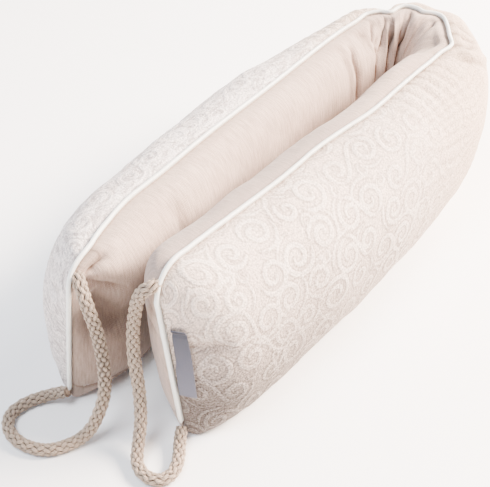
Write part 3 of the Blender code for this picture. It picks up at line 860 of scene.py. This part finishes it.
def make_filled_body(material):
    """The filled tube: the plain inner panel with its folds, closed behind by what the velour covers."""
    inner_columns = 120
    outer_columns = 16
    # Sections stand closest where the folds of the bend are, and close at both ends
    places = np.concatenate([
        np.arange(start, end, step) for start, end, step in (
            (-ARM_LEFT, -ARM_LEFT + 0.045, 0.0010), (-ARM_LEFT + 0.045, -0.125, 0.0026),
            (-0.125, 0.100, 0.0008),
            (0.100, ARM_RIGHT - 0.02, 0.0026), (ARM_RIGHT - 0.02, ARM_RIGHT, 0.0010))] + [[ARM_RIGHT]])
    angles, girths = even_angles(places, -1, inner_columns)
    heights = girths[:, None]*np.linspace(0, 1, inner_columns)
    lengths = distance_along(smooth_surface(places, MID_HEIGHT, -1)[:, 0])
    inner, folds = cotton_surface(places, angles, lengths, heights)
    back_angles, _ = even_angles(places, 1, outer_columns)
    back_heights = girths[:, None]*np.linspace(0, 1, outer_columns)
    shape, normals, _, _ = velour_shape(places, back_angles, lengths*BACK_STRETCH, back_heights)
    outer = above(shape - normals*(BACK_INSET*smooth_step(np.cos(back_angles)/0.35))[..., None], 0.0004)
    ring = np.concatenate([inner, outer[:, -2:0:-1]], axis=1)
    inner_around, outer_around = (np.linspace(0, 0.17, count) for count in (inner_columns, outer_columns))
    around = np.concatenate([inner_around, 0.17 + outer_around[1:]])
    bm, layer, shade = new_piece("fold_shade")
    grid = add_grid(bm, ring, flat_cloth(lengths, around), layer, wrap=True)
    store(grid, shade, folds)
    bmesh.ops.triangulate(bm, faces=close_ends(bm, grid))
    return finish_piece(bm, "cotton_body", material)


def smooth_route(points, step):
    """Even points on a smooth curve through a route's own points."""
    points = np.array(points, float)
    padded = np.vstack([2*points[0] - points[1], points, 2*points[-1] - points[-2]])
    t = np.arange(0, 1, 0.05)[:, None]
    fine = [smooth_blend(t, start, (end - before)/2, end, (after - start)/2)
            for before, start, end, after in zip(padded[:-3], padded[1:-2], padded[2:-1], padded[3:])]
    fine = np.vstack(fine + [points[-1:]])
    travelled = distance_along(fine)
    even = np.linspace(0, travelled[-1], max(2, round(travelled[-1]/step) + 1))
    return np.stack([np.interp(even, travelled, fine[:, axis]) for axis in range(3)], 1)


def seam_route(outward_gap, step):
    """The seam's outline, up the right end, along the top and down the left end, moved out by a gap."""
    climb = np.radians(np.linspace(-90, 90, 13))[:-1]
    corner = np.linspace(0, CORNER_SPAN, 16)
    along = np.linspace(ARM_RIGHT - CORNER_SPAN, -ARM_LEFT + CORNER_SPAN, 260)[1:-1]
    top = np.concatenate([ARM_RIGHT - corner, along, (-ARM_LEFT + corner)[::-1]])
    ends = [np.full(len(climb), end) for end in (ARM_RIGHT, -ARM_LEFT)]
    places = np.concatenate([ends[0], top, ends[1]])
    ends = [(smooth_surface(end[:1], climb, 1)[0] + smooth_surface(end[:1], climb, -1)[0])/2 for end in ends]
    seam = smooth_surface(top, np.array([math.pi/2]), 1)[:, 0]
    line = np.vstack([ends[0], seam, ends[1][::-1]])
    slope = unit(np.gradient(np.stack([places, line[:, 2]], 1), axis=0))
    heading = middle_line(places)[2]
    forward = np.stack([np.cos(heading), -np.sin(heading), np.zeros(len(places))], 1)
    outward = forward*slope[:, 1:] - np.array([0, 0, 1])*slope[:, :1]
    route = line + outward*outward_gap
    return smooth_route(route[route[:, 2] > PIPING_FOOT], step)


def carried_frames(points):
    """Two directions across a path at each of its points, carried along it without twist."""
    ahead = unit(np.gradient(points, axis=0))
    across = [np.cross((0, 0, 1), ahead[0])]
    for direction in ahead:
        across.append(unit(across[-1] - direction*across[-1].dot(direction)))
    across = np.array(across[1:])
    return across, np.cross(ahead, across)


def make_piping(material):
    """Satin piping: a round cord whose cover puckers a little, with its flange sewn into the seam."""
    sides = 12
    points = seam_route(COVER_RADIUS + PIPING_GAP, PIPING_STEP)
    across, over = carried_frames(points)
    travelled = np.arange(len(points))*PIPING_STEP
    turn = np.linspace(0, 2*math.pi, sides + 1)
    wobble = hills(travelled[:, None]*np.ones(sides + 1), np.cos(turn)*0.01, [(0.00012, 0.006, 31)])
    close = np.minimum(np.arange(len(points)), np.arange(len(points))[::-1])
    radius = (COVER_RADIUS + wobble)*(0.55 + 0.45*smooth_step(close/4))[:, None]
    bm, layer = new_piece()
    add_tube(bm, layer, points, across, over, radius, radius, flat_cloth(travelled, turn*PIPING_RADIUS))
    root = seam_route(-PIPING_GAP, PIPING_STEP)
    root = root[np.round(np.linspace(0, len(root) - 1, len(points))).astype(int)]
    beside = unit(np.cross(np.gradient(points, axis=0), points - root))*FLANGE_HALF
    flange = np.stack([points + beside, root + beside*1.6, root - beside*1.6, points - beside], 1)
    close_ends(bm, add_grid(bm, flange, flat_cloth(travelled, np.linspace(0, 0.008, 5)), layer, wrap=True))
    return finish_piece(bm, "satin_piping", material)


# The rope: six strands wound each way, passing over and under each other
STRANDS = 6
BRAID_PITCH = 0.043
STRAND_MIDDLE = 0.00285
STRAND_SWAY = 0.00055
STRAND_THICK = 0.00110
STRAND_WIDE = 0.00128
STRAND_SIDES = 8
CORE_RADIUS = 0.0024
ROPE_STEP = 0.0009
SHADED_SPAN = 0.030


def make_rope(name, route, material, shaded_at=None):
    """A braided rope of twelve strands round a core, and the points that it follows. Its stretch at shaded_at
    metres along has the tube's shadow painted on it."""
    path = smooth_route(np.array(route)/1000, ROPE_STEP) + BEND_AT
    across, over = carried_frames(path)
    travelled = np.arange(len(path))*ROPE_STEP
    close = np.minimum(travelled, travelled[-1] - travelled)
    pinch = (0.88 + 0.12*smooth_step(close/0.006))[:, None]
    shaded = 0 if shaded_at is None else 0.22*np.exp(-((travelled - shaded_at)/SHADED_SPAN)**2)
    bm, layer, strand_shade = new_piece("painted_strand_shade")
    turn = np.linspace(0, 2*math.pi, STRAND_SIDES + 1)
    for hand in (1, -1):
        wave = hand*np.cos(2*math.pi*STRANDS*travelled/BRAID_PITCH)
        # Painted shade: deepest where the strand dives under, along its flanks, and in the tube's shadow
        sunk_shade = ((1 - wave)/2*0.75 + shaded)[:, None] + 0.30*np.abs(np.sin(turn))
        for strand in range(STRANDS):
            angle = (hand*2*math.pi*travelled/BRAID_PITCH + strand*2*math.pi/STRANDS)[:, None]
            out = across*np.cos(angle) + over*np.sin(angle)
            middle = path + out*(STRAND_MIDDLE + STRAND_SWAY*wave)[:, None]*pinch
            side = unit(np.cross(np.gradient(middle, axis=0), out))
            cloth = flat_cloth(travelled + strand*0.013, hand*turn*STRAND_WIDE)
            grid = add_tube(bm, layer, middle, out, side, STRAND_THICK*pinch, STRAND_WIDE*pinch, cloth)
            store(grid, strand_shade, sunk_shade)
    cloth = flat_cloth(travelled, np.linspace(0, 2*math.pi, 9)*0.0017)
    add_tube(bm, layer, path, across, over, CORE_RADIUS*pinch, CORE_RADIUS*pinch, cloth)
    return finish_piece(bm, name, material), path


def make_label(material):
    """The blank side label: a ribbon from the end seam over the velour, its top folded under."""
    rows = 40
    columns = 16
    out = np.linspace(0, 1, columns)[:, None]
    up = np.linspace(0, 1, rows)
    places = ARM_RIGHT - LABEL_DEEP*out[:, 0]**1.8
    foot = np.arcsin(2*(LABEL_FOOT - 0.025 + 0.026*out) - 1)
    top = np.arcsin(2*(LABEL_TOP - 0.040*out) - 1)
    angles = foot + (top - foot)*up
    lift = 0.0012 + 0.0012*out**2 + 0.0008*np.sin(up*5.0 + 0.6)*out
    lift = lift - 0.0011*np.exp(-((out - 0.28)/0.2)**2 - ((up - 0.55)/0.10)**2)
    lift = lift + 0.0011*np.exp(-((up - 1.0)/0.035)**2) - 0.0006*np.exp(-((up - 0.93)/0.02)**2)
    # The velour puffs over the label's root, most of all near its top
    lift = (lift - 0.0045*smooth_step((0.10 + 0.30*up - out)/0.12))[..., None]
    points = smooth_surface(places, angles, 1)
    normals = surface_normals(places, angles, 1)
    cloth = flat_cloth(LABEL_WIDE*out[:, 0], LABEL_HIGH*up)
    bm, layer = new_piece()
    faces = (add_grid(bm, points + normals*lift, cloth, layer),
             add_grid(bm, points + normals*(lift - LABEL_THICK), cloth, layer, flip=True))
    rim, under_rim = (
        grid[0] + [row[-1] for row in grid[1:]] + grid[-1][-2::-1] + [row[0] for row in grid[-2:0:-1]]
        for grid in faces)
    for index in range(len(rim)):
        after = (index + 1) % len(rim)
        bm.faces.new((rim[index], rim[after], under_rim[after], under_rim[index]))
    return finish_piece(bm, "side_label", material)


# Stitches of the low seam: 3 mm from one to the next, and their size across and along the seam
STITCH_PITCH = 0.0030
STITCH_SIZE = (0.0005, 0.0005, 0.0022)


def make_stitches(name, line, material):
    """Short rounded stitches along a line of points, laid by Geometry Nodes and made plain mesh."""
    curve = bpy.data.curves.new(name + "_line", "CURVE")
    curve.dimensions = "3D"
    spline = curve.splines.new("POLY")
    spline.points.add(len(line) - 1)
    for point, place in zip(spline.points, line):
        point.co = (*place, 1)
    source = link_object(name + "_line", curve)
    tree = bpy.data.node_groups.new("row_of_stitches", "GeometryNodeTree")
    for socket, way in (("Line", "INPUT"), ("Stitches", "OUTPUT")):
        tree.interface.new_socket(name=socket, in_out=way, socket_type="NodeSocketGeometry")
    row = {"Curve": add_node(tree, "NodeGroupInput").outputs["Line"], "Length": STITCH_PITCH}
    points = add_node(tree, "GeometryNodeCurveToPoints", row, mode="LENGTH").outputs
    capsule = add_node(tree, "GeometryNodeMeshUVSphere", {"Segments": 6, "Rings": 5, "Radius": 0.5})
    laid = add_node(tree, "GeometryNodeInstanceOnPoints", {
        "Points": points["Points"], "Rotation": points["Rotation"], "Instance": capsule, "Scale": STITCH_SIZE
    })
    solid = add_node(tree, "GeometryNodeRealizeInstances", {"Geometry": laid})
    add_node(tree, "NodeGroupOutput", {"Stitches": solid})
    source.modifiers.new("Stitches", "NODES").node_group = tree
    mesh = bpy.data.meshes.new_from_object(source.evaluated_get(bpy.context.evaluated_depsgraph_get()))
    bpy.data.objects.remove(source, do_unlink=True)
    mesh.shade_smooth()
    return link_object(name, mesh, material)


def bottom_seam_line():
    """The line of the low seam on the cotton side, just proud of the cloth."""
    places = np.linspace(-ARM_LEFT + 0.004, ARM_RIGHT - 0.004, 700)
    angles = np.full((len(places), 1), math.asin(2*BOTTOM_SEAM - 1))
    heights = np.full((len(places), 1), 0.02)
    cloth, _ = cotton_surface(places, angles, places - places[0], heights)
    return (cloth + surface_normals(places, angles, -1)*0.0001)[:, 0]


def add_camera():
    """The camera of the photo: from the front right and above, turned to the bend."""
    azimuth = math.radians(41.40)
    elevation = math.radians(41.79)
    roll = math.radians(1.0)
    focal_pixels = 995.6
    photo_width = 490
    distance = 0.7151
    sensor = 36
    target = np.array([0.0257, -0.2444, 0.055]) + BEND_AT
    ahead = np.array([-math.sin(azimuth)*math.cos(elevation), math.cos(azimuth)*math.cos(elevation),
                      -math.sin(elevation)])
    right = np.array([math.cos(azimuth), math.sin(azimuth), 0])
    up = np.cross(right, ahead)
    turned_right = right*math.cos(roll) + up*math.sin(roll)
    turned_up = up*math.cos(roll) - right*math.sin(roll)
    place = target - ahead*distance
    data = bpy.data.cameras.new("camera")
    data.sensor_width = sensor
    data.lens = focal_pixels*sensor/photo_width
    data.clip_start = 0.01
    camera = link_object("camera", data)
    rows = np.stack([turned_right, turned_up, -ahead, place], 1).tolist()
    camera.matrix_world = Matrix(rows + [[0, 0, 0, 1]])
    bpy.context.scene.camera = camera


def add_light(name, azimuth, elevation, power, tint):
    """A soft square studio light, 2 m from the object in this direction in degrees, and turned to it."""
    data = bpy.data.lights.new(name, "AREA")
    data.shape = "SQUARE"
    data.size = 0.8
    data.energy = power
    data.color = colour(tint)[:3]
    light = link_object(name, data)
    turn = math.radians(azimuth)
    rise = math.radians(elevation)
    way = Vector((math.cos(turn)*math.cos(rise), math.sin(turn)*math.cos(rise), math.sin(rise)))
    light.location = Vector((0, 0, 0.05)) + way*2.0
    light.rotation_euler = (-way).to_track_quat("-Z", "Y").to_euler()


def add_studio():
    """A pale floor, an even white surround and four soft lights."""
    mesh = bpy.data.meshes.new("floor")
    half = 12.0
    corners = [(-half, -half, 0), (half, -half, 0), (half, half, 0), (-half, half, 0)]
    mesh.from_pydata(corners, [], [(0, 1, 2, 3)])
    # Smooth white studio board, matt
    board = mottled("studio_board", 0.75, 6, "fafafb", "ffffff", Specular_IOR_Level=0.2)
    floor = link_object("floor", mesh, board)
    floor.location.z = -0.0005
    world = bpy.data.worlds.new("surround")
    world.use_nodes = True
    background = world.node_tree.nodes["Background"]
    background.inputs["Color"].default_value = colour("f2f3fb")
    background.inputs["Strength"].default_value = 0.5
    bpy.context.scene.world = world
    for light in (("key", 50, 40, 370, "ffebda"), ("behind", 90, 22, 110, "fffdfb"),
                  ("front", 270, 65, 60, "f2f7ff"), ("low_left", 225, 5, 40, "dce9ff")):
        add_light(*light)


def main():
    add_camera()
    rope_finish = braided_cotton()
    rope_right, path_right = make_rope("rope_right", ROUTE_RIGHT, rope_finish)
    rope_left, path_left = make_rope("rope_left", ROUTE_LEFT, rope_finish, 0.062)
    body = make_filled_body(brushed_cotton())
    velour = make_velour(embossed_velour())
    piping = make_piping(ivory_satin())
    label = make_label(label_satin())
    # Polyester sewing thread: a fine ivory line with a slight gloss
    thread = mottled("sewing_thread", 0.5, 2500, "cdbcae", "eadfd4")
    low_seam = make_stitches("low_seam_stitches", bottom_seam_line(), thread)
    add_studio()

    for piece, node, slot in (
            (body, "filled_body", "brushed_cotton"), (velour, "outer_panel", "embossed_velour"),
            (piping, "piping", "ivory_satin"), (rope_right, "rope_handle_right", "braided_cotton"),
            (rope_left, "rope_handle_left", "braided_cotton"), (label, "label", "woven_label_satin")):
        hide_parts(node)
        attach(piece, "root")
    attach(low_seam, "root")


main()
